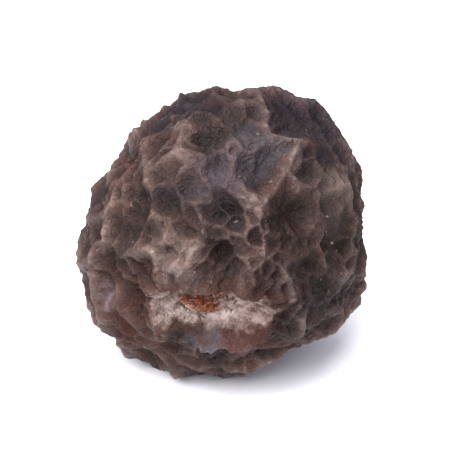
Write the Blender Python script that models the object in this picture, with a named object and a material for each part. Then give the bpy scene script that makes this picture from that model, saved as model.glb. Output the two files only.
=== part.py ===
"""A dried black peppercorn: one berry of the pepper vine, its skin shrunk into a raised net of ridges.

The berry is one closed solid. Points scattered over a ball are the middles of the pits that the skin
sank into, and the ball is cut into one cell round each of them, with a few rings of faces in each
cell. A geometry nodes tree bends the borders of the cells, raises a ridge along them and deepens some
of the pits. It adds the low humps and dents of the berry, the sunken scar where its stalk broke off and
the small nub at its other end. Lengths are in millimetres until the last step of the tree.
"""

import math
import random

import bmesh
import bpy
from mathutils import Vector

# Driving dimensions, in millimetres
MM = 0.001
HALF_WIDTHS = (2.34, 2.47, 2.44)   # of the berry's smooth ball, along X, Y and Z
BALL_RADIUS = 2.5                  # of the round ball on which the net is drawn
CENTRE = (0.16, 0.06, 2.40)        # of that ball, above the spot that the berry rests on

# The pits and the net of ridges between them
PIT_COUNT = 130
PIT_TRIES = 3                      # candidates drawn for each pit: more make the pits more even
PIT_SEED = 4
DEEP_PITS = (111, 9, 15, 91, 31)   # the deep ones on the scar's side, by their number in the scatter
DEEP_SPACING = 0.42                # between those and the other deep ones, as a share of the ball's radius
DEEP_DEPTH = 0.17                  # how much lower the middle of a deep pit lies
DEEP_REACH = 0.29                  # how far from its middle its floor has risen about two thirds of that
RIDGE_STEP = 0.17                  # between the points along a ridge
RING_SHARES = (0.26, 0.60)         # of the way from a ridge to the middle of its pit
RIDGE_HEIGHT = 0.22
RIDGE_WIDTH = 0.125                # how far from its crest a ridge has fallen to about a third
NARROWEST, WIDEST = 0.65, 1.45     # the shares of that width between which a ridge varies
LOWEST, HIGHEST = 0.35, 1.25       # the shares of its height, likewise
CREST_ROUNDING = 0.04
BEND_LONG = 0.80                   # how far the slow and the quick wander move a ridge sideways
BEND_SHORT = 0.16
CLOUD_LOW, CLOUD_HIGH = 0.34, 0.66  # the part of a noise's range in which nearly all its values lie

# Humps and dents of the whole berry: azimuth and elevation in degrees, reach in degrees, height
SWELLS = (
    (34, 49, 30, 0.13),
    (121, 60, 18, 0.02),
    (90, 64, 14, -0.22),
    (158, 37, 22, -0.12),
    (187, -13, 20, 0.33),
    (206, -42, 22, 0.33),
    (-38, -51, 20, -0.30),
    (2, 4, 28, -0.18),
    (68, -10, 26, -0.16),
    (128, -28, 24, 0.12),
)
BROAD_UNEVENNESS = 0.30            # of the whole berry, from the lowest to the highest of its noise
LUMP_UNEVENNESS = 0.45             # of the lumps, a few pits across

# The stalk scar, a sunken oval with a torn rim
SCAR_AZIMUTH, SCAR_ELEVATION = -100.5, -7.0
SCAR_HALF_WIDTH, SCAR_HALF_HEIGHT = 0.95, 0.46
SCAR_DEPTH = 0.20
SCAR_RIM = 0.10
SCAR_RIM_WIDTH = 0.26              # as a share of the scar's own half width
SCAR_RAGGEDNESS = 0.35             # how far its edge strays from the oval

# The nub at the other end, all that is left of the flower's stigma
NUB_AZIMUTH, NUB_ELEVATION = 82.0, 10.0
NUB_RADIUS = 0.26
NUB_HEIGHT = 0.17
NUB_MOAT_RADIUS = 0.62
NUB_MOAT_DEPTH = 0.12

SKIN_COLOUR = (0.105, 0.070, 0.062, 1.0)
SKIN_ROUGHNESS = 0.58


def clear_scene():
    for thing in list(bpy.data.objects):
        bpy.data.objects.remove(thing)


def direction(azimuth, elevation):
    """The unit vector at an azimuth, counted from +X towards +Y, and an elevation, in degrees."""
    turn, rise = math.radians(azimuth), math.radians(elevation)
    return Vector((math.cos(rise) * math.cos(turn), math.cos(rise) * math.sin(turn), math.sin(rise)))


def pit_middles():
    """Scatters the pits over the unit ball: each is the drawn point that lies furthest from the rest."""
    draw = random.Random(PIT_SEED)
    middles = [direction(0, 90)]
    while len(middles) < PIT_COUNT:
        tries = [Vector([draw.gauss(0, 1) for _ in range(3)]).normalized() for _ in range(PIT_TRIES)]
        middles.append(max(tries, key=lambda point: min((point - other).length for other in middles)))
    return middles


def deep_pits(middles):
    """The numbers of the deep pits: the named ones, and more that lie well apart from one another."""
    deep = list(DEEP_PITS)
    for pit, middle in enumerate(middles):
        if min((middle - middles[other]).length for other in deep) > DEEP_SPACING:
            deep.append(pit)
    return deep


def pit_outlines(middles):
    """For each pit, its middle and the corners of its cell, in order, numbered over the whole ball."""
    hull = bmesh.new()
    for middle in middles:
        hull.verts.new(middle)
    bmesh.ops.convex_hull(hull, input=hull.verts)
    hull.faces.index_update()
    corners = [face.calc_center_median().normalized() for face in hull.faces]
    outlines = []
    for pit in hull.verts:
        middle = pit.co.normalized()
        side = middle.orthogonal().normalized()
        up = middle.cross(side)
        around = sorted((face.index for face in pit.link_faces),
                        key=lambda corner: math.atan2(corners[corner].dot(up), corners[corner].dot(side)))
        outlines.append((middle, around))
    hull.free()
    return corners, outlines


def pit_cells():
    """A ball of pit cells, in rings of faces, with its border edges and the middles of deep pits marked."""
    middles = pit_middles()
    deep = deep_pits(middles)
    corners, outlines = pit_outlines(middles)
    ball = bmesh.new()
    is_ridge = ball.edges.layers.bool.new("ridge")
    is_deep = ball.verts.layers.bool.new("deep")
    corner_points = [ball.verts.new(corner) for corner in corners]
    borders = {}

    def border(start, end):
        """The points from one corner up to the next, shared by the cells on both sides of it."""
        if (start, end) not in borders:
            span = corners[end] - corners[start]
            parts = max(1, round(span.length * BALL_RADIUS / RIDGE_STEP))
            between = [corners[start] + span * part / parts for part in range(1, parts)]
            line = [ball.verts.new(point.normalized()) for point in between]
            borders[start, end] = [corner_points[start], *line]
            borders[end, start] = [corner_points[end], *reversed(line)]
        return borders[start, end]

    for pit, (middle, around) in enumerate(outlines):
        outer = []
        for start, end in zip(around, around[1:] + around[:1]):
            outer += border(start, end)
        edge_of_pit = list(outer)
        for share in RING_SHARES:
            inner = [ball.verts.new(point.co.lerp(middle, share).normalized()) for point in edge_of_pit]
            for place in range(len(outer)):
                after = (place + 1) % len(outer)
                ball.faces.new((outer[place], outer[after], inner[after], inner[place]))
            outer = inner
        deepest = ball.verts.new(middle)
        deepest[is_deep] = pit in deep
        for place in range(len(outer)):
            ball.faces.new((outer[place], outer[(place + 1) % len(outer)], deepest))
        for place in range(len(edge_of_pit)):
            ends = edge_of_pit[place], edge_of_pit[(place + 1) % len(edge_of_pit)]
            ball.edges.get(ends)[is_ridge] = True
    mesh = bpy.data.meshes.new("peppercorn")
    ball.to_mesh(mesh)
    ball.free()
    return mesh


class SkinTree:
    """A geometry nodes tree, with short ways to add a node and to join values by arithmetic."""

    def __init__(self, name, sizes):
        self.tree = bpy.data.node_groups.new(name, "GeometryNodeTree")
        self.tree.is_modifier = True
        sockets = self.tree.interface
        sockets.new_socket("Pit Cells", in_out="INPUT", socket_type="NodeSocketGeometry")
        sockets.new_socket("Berry", in_out="OUTPUT", socket_type="NodeSocketGeometry")
        self.identifiers = {}
        for title, value in sizes.items():
            kind = {int: "Int", float: "Float", tuple: "Vector"}[type(value)]
            socket = sockets.new_socket(title, in_out="INPUT", socket_type="NodeSocket" + kind)
            self.identifiers[title] = socket.identifier
        self.inputs = self.add("NodeGroupInput").outputs

    def add(self, kind, values=None, **settings):
        """Adds a node, and sets or links the inputs named or numbered in values."""
        node = self.tree.nodes.new(kind)
        for name, value in settings.items():
            setattr(node, name, value)
        for key, value in (values or {}).items():
            if isinstance(value, bpy.types.NodeSocket):
                self.tree.links.new(value, node.inputs[key])
            else:
                node.inputs[key].default_value = value
        return node

    def maths(self, operation, *values):
        return self.add("ShaderNodeMath", dict(enumerate(values)), operation=operation).outputs[0]

    def vectors(self, operation, *values):
        node = self.add("ShaderNodeVectorMath", dict(enumerate(values)), operation=operation)
        return node.outputs["Value" if operation in ("DOT_PRODUCT", "LENGTH") else "Vector"]

    def scaled(self, vector, factor):
        node = self.add("ShaderNodeVectorMath", {0: vector, "Scale": factor}, operation="SCALE")
        return node.outputs["Vector"]

    def noise(self, place, scale, detail, seed, output="Fac"):
        values = {"Vector": place, "W": seed, "Scale": scale, "Detail": detail}
        return self.add("ShaderNodeTexNoise", values, noise_dimensions="4D").outputs[output]

    def wander(self, place, scale, detail, seed, reach):
        """A smooth sideways move that differs from place to place, up to about half of reach."""
        colour = self.noise(place, scale, detail, seed, "Color")
        return self.scaled(self.vectors("SUBTRACT", colour, (0.5, 0.5, 0.5)), reach)

    def eased(self, value, low, high, at_low, at_high):
        values = {"Value": value, 1: low, 2: high, 3: at_low, 4: at_high}
        return self.add("ShaderNodeMapRange", values, interpolation_type="SMOOTHSTEP").outputs[0]

    def crest(self, distance, width, rounding):
        """A ridge seen end on: 1 on its crest, rounded there, and falling away in a hollow curve."""
        square = self.maths("MULTIPLY", distance, distance)
        rounded = self.maths("SQRT", self.maths("MULTIPLY_ADD", rounding, rounding, square))
        fall = self.maths("DIVIDE", self.maths("SUBTRACT", rounding, rounded), width)
        return self.maths("EXPONENT", fall)

    def bell(self, distance, reach):
        """1 at no distance, and smoothly down to nothing past the reach."""
        share = self.maths("DIVIDE", distance, reach)
        return self.maths("EXPONENT", self.maths("MULTIPLY", self.maths("MULTIPLY", share, share), -1.0))


def bent_place(skin, ball_place):
    """Where a point of the ball goes as the net is bent: sideways only, so it stays on the ball."""
    slow = skin.wander(ball_place, 0.8, 1.0, 1.3, skin.inputs["Bend Long"])
    quick = skin.wander(ball_place, 2.6, 2.0, 7.1, skin.inputs["Bend Short"])
    moved = skin.vectors("ADD", ball_place, skin.vectors("ADD", slow, quick))
    return skin.scaled(skin.vectors("NORMALIZE", moved), skin.inputs["Ball Radius"])


def marked_part(skin, ball, mark, **settings):
    """Only the points or the edges of the ball that carry a mark."""
    marked = skin.add("GeometryNodeInputNamedAttribute", {"Name": mark}, data_type="BOOLEAN")
    unmarked = skin.add("FunctionNodeBooleanMath", {0: marked.outputs["Attribute"]}, operation="NOT")
    return skin.add("GeometryNodeDeleteGeometry", {0: ball, "Selection": unmarked.outputs[0]},
                    **settings).outputs[0]


def hollows(skin, bent_ball, place):
    """The depth share of the deep pits: 1 at the middle of each."""
    middles = marked_part(skin, bent_ball, "deep", domain="POINT")
    nearest = skin.add("GeometryNodeProximity", {0: middles, "Sample Position": place},
                       target_element="POINTS")
    return skin.bell(nearest.outputs["Distance"], skin.inputs["Deep Reach"])


def net_of_ridges(skin, bent_ball, place):
    """The height share of the ridges: 1 along the marked borders between neighbouring pits."""
    net = marked_part(skin, bent_ball, "ridge", domain="EDGE", mode="EDGE_FACE")
    nearest = skin.add("GeometryNodeProximity", {0: net, "Sample Position": place}, target_element="EDGES")
    breadth = skin.eased(skin.noise(place, 0.9, 1.0, 6.1), CLOUD_LOW, CLOUD_HIGH, NARROWEST, WIDEST)
    width = skin.maths("MULTIPLY", skin.inputs["Ridge Width"], breadth)
    ridge = skin.crest(nearest.outputs["Distance"], width, skin.inputs["Crest Rounding"])
    strength = skin.eased(skin.noise(place, 1.1, 1.0, 3.7), CLOUD_LOW, CLOUD_HIGH, LOWEST, HIGHEST)
    return skin.maths("MULTIPLY", ridge, strength)


def swells(skin, outward):
    """The sum of the berry's broad humps and dents, and of a slow and a quicker unevenness."""
    broad = skin.maths("SUBTRACT", skin.noise(outward, 1.4, 1.0, 9.9), 0.5)
    total = skin.maths("MULTIPLY", broad, BROAD_UNEVENNESS)
    place = skin.scaled(outward, skin.inputs["Ball Radius"])
    lumps = skin.maths("SUBTRACT", skin.noise(place, 0.9, 1.0, 2.2), 0.5)
    total = skin.maths("MULTIPLY_ADD", lumps, LUMP_UNEVENNESS, total)
    for azimuth, elevation, reach, height in SWELLS:
        apart = skin.vectors("LENGTH", skin.vectors("SUBTRACT", outward, direction(azimuth, elevation)))
        hump = skin.bell(apart, math.radians(reach))
        total = skin.maths("MULTIPLY_ADD", hump, height, total)
    return total


def scar_share(skin, place):
    """How far a point lies from the scar's middle, where 1 is on its uneven oval edge."""
    middle = direction(SCAR_AZIMUTH, SCAR_ELEVATION)
    sideways = Vector((0, 0, 1)).cross(middle).normalized()
    upwards = middle.cross(sideways)
    ragged = skin.vectors("ADD", place, skin.wander(place, 1.8, 2.0, 14.0, SCAR_RAGGEDNESS))
    across = skin.maths("DIVIDE", skin.vectors("DOT_PRODUCT", ragged, sideways), SCAR_HALF_WIDTH)
    up = skin.maths("DIVIDE", skin.vectors("DOT_PRODUCT", ragged, upwards), SCAR_HALF_HEIGHT)
    oval = skin.maths("SQRT", skin.maths("ADD", skin.maths("MULTIPLY", across, across),
                                         skin.maths("MULTIPLY", up, up)))
    behind = skin.maths("LESS_THAN", skin.vectors("DOT_PRODUCT", place, middle), 0.0)
    return skin.maths("MULTIPLY_ADD", behind, BALL_RADIUS * 4, oval)


def berry_tree(sizes):
    """Bends the cells, and raises the whole relief from the ball that they make up."""
    skin = SkinTree("wrinkled berry", sizes)
    own_place = skin.add("GeometryNodeInputPosition").outputs[0]
    on_ball = skin.scaled(skin.vectors("NORMALIZE", own_place), skin.inputs["Ball Radius"])
    bent = skin.add("GeometryNodeSetPosition", {"Geometry": skin.inputs["Pit Cells"],
                                                "Position": bent_place(skin, on_ball)}).outputs[0]
    keep = skin.add("GeometryNodeCaptureAttribute", {0: bent})
    keep.capture_items.new("VECTOR", "place")
    skin.tree.links.new(own_place, keep.inputs[1])
    ball, place = keep.outputs[0], keep.outputs[1]
    outward = skin.vectors("NORMALIZE", place)

    relief = skin.maths("MULTIPLY", net_of_ridges(skin, bent, place), skin.inputs["Ridge Height"])
    depth = skin.maths("MULTIPLY", hollows(skin, bent, place), skin.inputs["Deep Depth"])
    relief = skin.maths("SUBTRACT", relief, depth)

    share = scar_share(skin, place)
    around_scar = skin.eased(share, 0.75, 1.15, 0.0, 1.0)
    rim = skin.bell(skin.maths("SUBTRACT", share, 1.2), SCAR_RIM_WIDTH)
    floor = skin.maths("MULTIPLY", skin.maths("SUBTRACT", 1.0, around_scar), -SCAR_DEPTH)
    relief = skin.maths("MULTIPLY_ADD", relief, around_scar, floor)
    relief = skin.maths("MULTIPLY_ADD", rim, SCAR_RIM, relief)

    nub_middle = direction(NUB_AZIMUTH, NUB_ELEVATION) * BALL_RADIUS
    from_nub = skin.vectors("LENGTH", skin.vectors("SUBTRACT", place, nub_middle))
    moat = skin.bell(from_nub, NUB_MOAT_RADIUS)
    relief = skin.maths("MULTIPLY", relief, skin.maths("SUBTRACT", 1.0, moat))
    relief = skin.maths("MULTIPLY_ADD", moat, -NUB_MOAT_DEPTH, relief)
    relief = skin.maths("MULTIPLY_ADD", skin.bell(from_nub, NUB_RADIUS), NUB_HEIGHT + NUB_MOAT_DEPTH, relief)

    height = skin.maths("ADD", relief, swells(skin, outward))
    body = skin.vectors("MULTIPLY", outward, skin.inputs["Half Widths"])
    raised = skin.vectors("ADD", skin.vectors("ADD", body, skin.scaled(outward, height)), CENTRE)
    rested = skin.vectors("MAXIMUM", raised, (-BALL_RADIUS * 2, -BALL_RADIUS * 2, 0.0))
    placed = skin.add("GeometryNodeSetPosition", {"Geometry": ball, "Position": skin.scaled(rested, MM)})
    smooth = skin.add("GeometryNodeSetShadeSmooth", {0: placed.outputs[0]})
    skin.add("NodeGroupOutput", {0: smooth.outputs[0]})
    return skin


def skin_material():
    """The dried, dark brown skin of the berry."""
    material = bpy.data.materials.new("dried pepper skin")
    material.use_nodes = True
    shader = material.node_tree.nodes["Principled BSDF"]
    shader.inputs["Base Color"].default_value = SKIN_COLOUR
    shader.inputs["Roughness"].default_value = SKIN_ROUGHNESS
    shader.inputs["Metallic"].default_value = 0.0
    return material


def peppercorn():
    """Makes the berry: the ball of pit cells, which the tree turns into the wrinkled solid."""
    sizes = {
        "Half Widths": HALF_WIDTHS,
        "Ball Radius": BALL_RADIUS,
        "Ridge Height": RIDGE_HEIGHT,
        "Ridge Width": RIDGE_WIDTH,
        "Deep Depth": DEEP_DEPTH,
        "Deep Reach": DEEP_REACH,
        "Crest Rounding": CREST_ROUNDING,
        "Bend Long": BEND_LONG,
        "Bend Short": BEND_SHORT,
    }
    skin = berry_tree(sizes)
    mesh = pit_cells()
    mesh.materials.append(skin_material())
    berry = bpy.data.objects.new("peppercorn", mesh)
    bpy.context.collection.objects.link(berry)
    wrinkled = berry.modifiers.new("wrinkled skin", "NODES")
    wrinkled.node_group = skin.tree
    for title, value in sizes.items():
        wrinkled[skin.identifiers[title]] = value
    return berry


clear_scene()
peppercorn()
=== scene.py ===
import math
import random

import bmesh
import bpy
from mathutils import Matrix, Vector


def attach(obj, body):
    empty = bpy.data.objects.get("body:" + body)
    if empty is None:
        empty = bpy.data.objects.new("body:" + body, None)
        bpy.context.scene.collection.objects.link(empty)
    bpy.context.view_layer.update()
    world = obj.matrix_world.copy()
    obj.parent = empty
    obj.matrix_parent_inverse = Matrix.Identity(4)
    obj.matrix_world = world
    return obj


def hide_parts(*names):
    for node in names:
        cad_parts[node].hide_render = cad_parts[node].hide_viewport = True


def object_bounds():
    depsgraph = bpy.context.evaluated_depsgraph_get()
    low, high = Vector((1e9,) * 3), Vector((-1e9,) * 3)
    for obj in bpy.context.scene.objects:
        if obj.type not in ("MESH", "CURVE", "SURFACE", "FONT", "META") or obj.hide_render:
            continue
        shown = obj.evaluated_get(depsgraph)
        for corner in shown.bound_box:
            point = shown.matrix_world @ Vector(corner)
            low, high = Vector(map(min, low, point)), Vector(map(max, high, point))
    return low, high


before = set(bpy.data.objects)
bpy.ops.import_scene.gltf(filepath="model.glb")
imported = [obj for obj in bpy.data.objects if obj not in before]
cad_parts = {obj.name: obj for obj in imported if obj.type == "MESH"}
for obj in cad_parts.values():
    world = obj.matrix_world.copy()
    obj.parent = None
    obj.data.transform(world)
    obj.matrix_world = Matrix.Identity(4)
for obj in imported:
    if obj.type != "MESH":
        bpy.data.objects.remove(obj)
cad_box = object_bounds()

# The berry.
# A black peppercorn is a whole green berry of the pepper vine, dried until its flesh has gone and its
# skin stands in folds over the hard seed. It is one body: round it run high folds, which join up in a
# net with a sunken pit in each mesh, and lower creases and fine wrinkles lie between them.

MM = 0.001                         # lengths below are in millimetres, as the folds are measured
HALF_WIDTHS = (2.34, 2.47, 2.44)   # of the berry's smooth ball, along X, Y and Z
BALL_RADIUS = 2.5                  # of the round ball on which the folds are drawn
CENTRE = (0.16, 0.06, 2.40)        # of that ball, above the spot that the berry rests on
GRID_SQUARES = 127                 # along each side of the cube that is blown up to that ball
PIT_COUNT, PIT_TRIES, PIT_SEED = 130, 3, 4
DEEP_PITS = (111, 9, 15, 91, 31)   # the pits that show darkest, by their place in the scatter
DEEP_SPACING = 0.42                # between them and the other deep ones, as a share of the ball's radius
CREASE_COUNT, CREASE_TRIES, CREASE_SEED = 480, 2, 21
BORDER_STEP = 0.17                 # between the points along a fold
BROAD_SWELL, NARROW_SWELL = 0.3, 0.45   # heights of the whole berry's random unevenness
WRINKLE_WIDTH, WRINKLE_ROUNDING = 0.17, 0.06   # as shares of a wrinkle's cell

# Humps and dents of the whole berry: azimuth and elevation in degrees, reach in degrees, height
SWELLS = (
    (34, 49, 30, 0.13),
    (121, 60, 18, 0.02),
    (90, 64, 14, -0.22),
    (158, 37, 22, -0.12),
    (187, -13, 20, 0.33),
    (206, -42, 22, 0.33),
    (-38, -51, 20, -0.30),
    (2, 4, 28, -0.18),
    (68, -10, 26, -0.16),
    (128, -28, 24, 0.12),
)

# A crease end that stood out like a thorn is rubbed down: direction and reach in degrees, and the share
# of its height that is gone.
WORN_AZIMUTH, WORN_ELEVATION, WORN_REACH, WORN_SHARE = -13.8, 5.2, 3.5, 0.85

# The stalk scar is a sunken oval with a torn rim, and the nub opposite is what is left of the stigma.
# How far out the scar's rim, stump and groove lie is given as a share of the scar's half size.
SCAR_AZIMUTH, SCAR_ELEVATION = -100.5, -7.0
SCAR_HALF_WIDTH, SCAR_HALF_HEIGHT = 0.95, 0.46
SCAR_DEPTH, SCAR_RIM = 0.20, 0.10
SCAR_RIM_LINE, SCAR_RIM_WIDTH = 1.2, 0.26
STUMP_SHIFT, STUMP_REACH = 0.20, 0.30   # the stump of the stalk lies a little to the left
GROOVE_LINE, GROOVE_WIDTH = 0.62, 0.2   # round that stump
PUCKER_WIDTH, PUCKER_ROUNDING = 0.045, 0.015
FAR_SIDE = BALL_RADIUS * 4              # added to that share where the skin faces away from the scar
NUB_AZIMUTH, NUB_ELEVATION = 82.0, 10.0
NUB_RADIUS, NUB_HEIGHT = 0.26, 0.17
NUB_MOAT_RADIUS, NUB_MOAT_DEPTH = 0.62, 0.12

FOLD_SIZES = {
    "Half Widths": HALF_WIDTHS,
    "Ball Radius": BALL_RADIUS,
    "Grid Squares": GRID_SQUARES,
    "Fold Height": 0.22,
    "Fold Width": 0.125,
    "Fold Rounding": 0.055,
    "Deep Pit Depth": 0.17,
    "Deep Pit Reach": 0.29,
    "Bend Long": 0.80,
    "Bend Short": 0.16,
    "Crease Height": 0.11,
    "Crease Width": 0.05,
    "Crease Rounding": 0.03,
    "Wrinkle Height": 0.028,
    "Wrinkle Cell": 0.19,
    "Grain Height": 0.006,
    "Pucker Height": 0.10,
    "Fibre Height": 0.135,
    "Stump Height": 0.09,
    "Groove Depth": 0.07,
    "Sink": 0.05,                  # of all the skin, since the folds stand out of the ball
}


def direction(azimuth, elevation):
    """The unit vector at an azimuth, counted from +X towards +Y, and an elevation, in degrees."""
    turn, rise = math.radians(azimuth), math.radians(elevation)
    return Vector((math.cos(rise) * math.cos(turn), math.cos(rise) * math.sin(turn), math.sin(rise)))


def scattered(count, tries, seed):
    """Points over the unit ball, each of them the drawn one that lies furthest from the rest."""
    draw = random.Random(seed)
    points = [direction(0, 90)]
    while len(points) < count:
        drawn = [Vector([draw.gauss(0, 1) for _ in range(3)]).normalized() for _ in range(tries)]
        points.append(max(drawn, key=lambda point: min((point - other).length for other in points)))
    return points


def add_net(mesh, middles, mark):
    """Adds the borders between the cells round the middles, as edges marked as folds or as creases."""
    hull = bmesh.new()
    for middle in middles:
        hull.verts.new(middle)
    bmesh.ops.convex_hull(hull, input=hull.verts)
    corners = {face: mesh.verts.new(face.calc_center_median().normalized()) for face in hull.faces}
    for edge in hull.edges:
        start, end = (corners[face] for face in edge.link_faces)
        span = end.co - start.co
        parts = max(1, round(span.length * BALL_RADIUS / BORDER_STEP))
        between = [mesh.verts.new((start.co + span * part / parts).normalized()) for part in range(1, parts)]
        line = [start, *between, end]
        for near, far in zip(line, line[1:]):
            mesh.edges.new((near, far))[mark] = True
    hull.free()


def linear(colour):
    """The linear colour of an sRGB hex value such as "4d3d3b"."""
    shares = [int(colour[place:place + 2], 16) / 255 for place in (0, 2, 4)]
    return [s / 12.92 if s <= 0.04045 else ((s + 0.055) / 1.055) ** 2.4 for s in shares] + [1.0]


def node(tree, kind, inputs=(), out=0, stops=(), **settings):
    """Adds a node with its settings, sets or links its inputs by place or name, and gives one output.

    A colour ramp's stops are positions with sRGB hex colours, in rising order.
    """
    made = tree.nodes.new(kind)
    for name, value in settings.items():
        setattr(made, name, value)
    for place, value in inputs.items() if isinstance(inputs, dict) else enumerate(inputs):
        if isinstance(value, bpy.types.NodeSocket):
            tree.links.new(value, made.inputs[place])
        else:
            made.inputs[place].default_value = value
    if stops:
        elements = made.color_ramp.elements
        elements.remove(elements[-1])
        elements[0].position, elements[0].color = stops[0][0], linear(stops[0][1])
        for position, colour in stops[1:]:
            elements.new(position).color = linear(colour)
    return made.outputs[out] if made.outputs else made


# A RANGE node takes a value, the two limits that it is read between, and what it gives at each of them.
MATHS, VECTORS, RANGE = "ShaderNodeMath", "ShaderNodeVectorMath", "ShaderNodeMapRange"


def wandering(tree, place, scale, seed, reach, detail=2.0):
    """A smooth sideways move that differs from place to place, up to about half of reach."""
    colour = node(tree, "ShaderNodeTexNoise", {"Vector": place, "W": seed, "Scale": scale, "Detail": detail},
                  "Color", noise_dimensions="4D")
    evened = node(tree, VECTORS, (colour, (0.5, 0.5, 0.5)), operation="SUBTRACT")
    return node(tree, VECTORS, {0: evened, "Scale": reach}, operation="SCALE")


def patchy(tree, place, scale, seed, lowest, highest, noise=(0.34, 0.66)):
    """A share that changes slowly from place to place, from its lowest to its highest in a range of noise."""
    cloud = node(tree, "ShaderNodeTexNoise", {"Vector": place, "W": seed, "Scale": scale, "Detail": 1.0},
                 "Fac", noise_dimensions="4D")
    return node(tree, RANGE, (cloud, *noise, lowest, highest), interpolation_type="SMOOTHSTEP")


def fold_profile(tree, distance, width, rounding):
    """A fold seen end on: 1 on its crest, rounded there, and falling away in a hollow curve."""
    square = node(tree, MATHS, (distance, distance), operation="MULTIPLY")
    rounded = node(tree, MATHS, (node(tree, MATHS, (rounding, rounding, square), operation="MULTIPLY_ADD"),),
                   operation="SQRT")
    below = node(tree, MATHS, (rounding, rounded), operation="SUBTRACT")
    return node(tree, MATHS, (node(tree, MATHS, (below, width), operation="DIVIDE"),), operation="EXPONENT")


def bell(tree, distance, reach):
    """1 at no distance, and smoothly down to nothing past the reach."""
    share = node(tree, MATHS, (distance, reach), operation="DIVIDE")
    square = node(tree, MATHS, (share, share), operation="MULTIPLY")
    return node(tree, MATHS, (node(tree, MATHS, (square, -1.0), operation="MULTIPLY"),), operation="EXPONENT")


def distance_to_net(tree, bent_nets, mark, place):
    """How far a place on the ball is from the nearest marked edge of the nets."""
    marked = node(tree, "GeometryNodeInputNamedAttribute", {"Name": mark}, "Attribute", data_type="BOOLEAN")
    others = node(tree, "FunctionNodeBooleanMath", (marked,), operation="NOT")
    net = node(tree, "GeometryNodeDeleteGeometry", {0: bent_nets, "Selection": others},
               domain="EDGE", mode="EDGE_FACE")
    return node(tree, "GeometryNodeProximity", {0: net, "Sample Position": place}, "Distance",
                target_element="EDGES")


tree = bpy.data.node_groups.new("berry skin", "GeometryNodeTree")
tree.is_modifier = True
tree.interface.new_socket("Nets", in_out="INPUT", socket_type="NodeSocketGeometry")
tree.interface.new_socket("Berry", in_out="OUTPUT", socket_type="NodeSocketGeometry")
size_socket = {}
for title, value in FOLD_SIZES.items():
    kind = {int: "NodeSocketInt", float: "NodeSocketFloat", tuple: "NodeSocketVector"}[type(value)]
    size_socket[title] = tree.interface.new_socket(title, in_out="INPUT", socket_type=kind).identifier
given = tree.nodes.new("NodeGroupInput").outputs

# The bent nets: every border is moved sideways by a slow and a quick wander, and stays on the ball.
# Places are in millimetres, so a pattern of scale 5 has features about a fifth of a millimetre across.
own_place = node(tree, "GeometryNodeInputPosition")
on_ball = node(tree, VECTORS, {0: node(tree, VECTORS, (own_place,), operation="NORMALIZE"),
                               "Scale": given["Ball Radius"]}, operation="SCALE")
slow = wandering(tree, on_ball, scale=0.8, seed=1.3, reach=given["Bend Long"], detail=1.0)
quick = wandering(tree, on_ball, scale=2.6, seed=7.1, reach=given["Bend Short"])
moved = node(tree, VECTORS, (on_ball, node(tree, VECTORS, (slow, quick), operation="ADD")), operation="ADD")
bent_place = node(tree, VECTORS, {0: node(tree, VECTORS, (moved,), operation="NORMALIZE"),
                                  "Scale": given["Ball Radius"]}, operation="SCALE")
bent_nets = node(tree, "GeometryNodeSetPosition", {"Geometry": given["Nets"], "Position": bent_place})

# The ball: a cube divided evenly and blown up, whose points keep their place on it by name.
corners = node(tree, MATHS, (given["Grid Squares"], 1.0), operation="ADD")
cube = node(tree, "GeometryNodeMeshCube", ((2, 2, 2), corners, corners, corners))
evened = node(tree, VECTORS, (node(tree, VECTORS, {0: own_place, "Scale": math.pi / 4}, operation="SCALE"),),
              operation="TANGENT")
ball_place = node(tree, VECTORS, {0: node(tree, VECTORS, (evened,), operation="NORMALIZE"),
                                  "Scale": given["Ball Radius"]}, operation="SCALE")
ball = node(tree, "GeometryNodeStoreNamedAttribute", {"Geometry": cube, "Name": "place", "Value": ball_place},
            data_type="FLOAT_VECTOR", domain="POINT")
place = node(tree, "GeometryNodeInputNamedAttribute", {"Name": "place"}, "Attribute",
             data_type="FLOAT_VECTOR")
outward = node(tree, VECTORS, (place,), operation="NORMALIZE")

# High folds, creases in a finer net across the pits, and wrinkles and grain over all of it. Folds and
# creases are wider and higher in some places than in others, and creases are low where they meet a fold.
fold_spread = patchy(tree, place, scale=0.9, seed=6.1, lowest=0.65, highest=1.45)
fold_width = node(tree, MATHS, (given["Fold Width"], fold_spread), operation="MULTIPLY")
fold_gap = distance_to_net(tree, bent_nets, "fold", place)
fold = fold_profile(tree, fold_gap, fold_width, given["Fold Rounding"])
fold_rise = patchy(tree, place, scale=1.1, seed=3.7, lowest=0.35, highest=1.25)
fold = node(tree, MATHS, (fold, fold_rise), operation="MULTIPLY")
shake = wandering(tree, place, scale=3.0, seed=11.0, reach=0.24)
shaken = node(tree, VECTORS, (place, shake), operation="ADD")
crease_spread = patchy(tree, place, scale=2.0, seed=8.3, lowest=0.6, highest=1.5, noise=(0.36, 0.64))
crease_width = node(tree, MATHS, (given["Crease Width"], crease_spread), operation="MULTIPLY")
crease_gap = distance_to_net(tree, bent_nets, "crease", shaken)
crease = fold_profile(tree, crease_gap, crease_width, given["Crease Rounding"])
crease_rise = patchy(tree, place, scale=1.6, seed=5.2, lowest=0.45, highest=1.2, noise=(0.36, 0.60))
crease = node(tree, MATHS, (crease, crease_rise), operation="MULTIPLY")
off_fold = node(tree, RANGE, (fold, 0.3, 1.1, 1.0, 0.35))
crease = node(tree, MATHS, (crease, off_fold), operation="MULTIPLY")
thorn = direction(WORN_AZIMUTH, WORN_ELEVATION)
from_thorn = node(tree, VECTORS, (outward, thorn), "Value", operation="DISTANCE")
left_over = node(tree, MATHS, (bell(tree, from_thorn, math.radians(WORN_REACH)), -WORN_SHARE, 1.0),
                 operation="MULTIPLY_ADD")
crease = node(tree, MATHS, (crease, left_over), operation="MULTIPLY")
rumple = wandering(tree, place, scale=5.0, seed=21.0, reach=0.14)
rumpled = node(tree, VECTORS, (place, rumple), operation="ADD")
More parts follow.
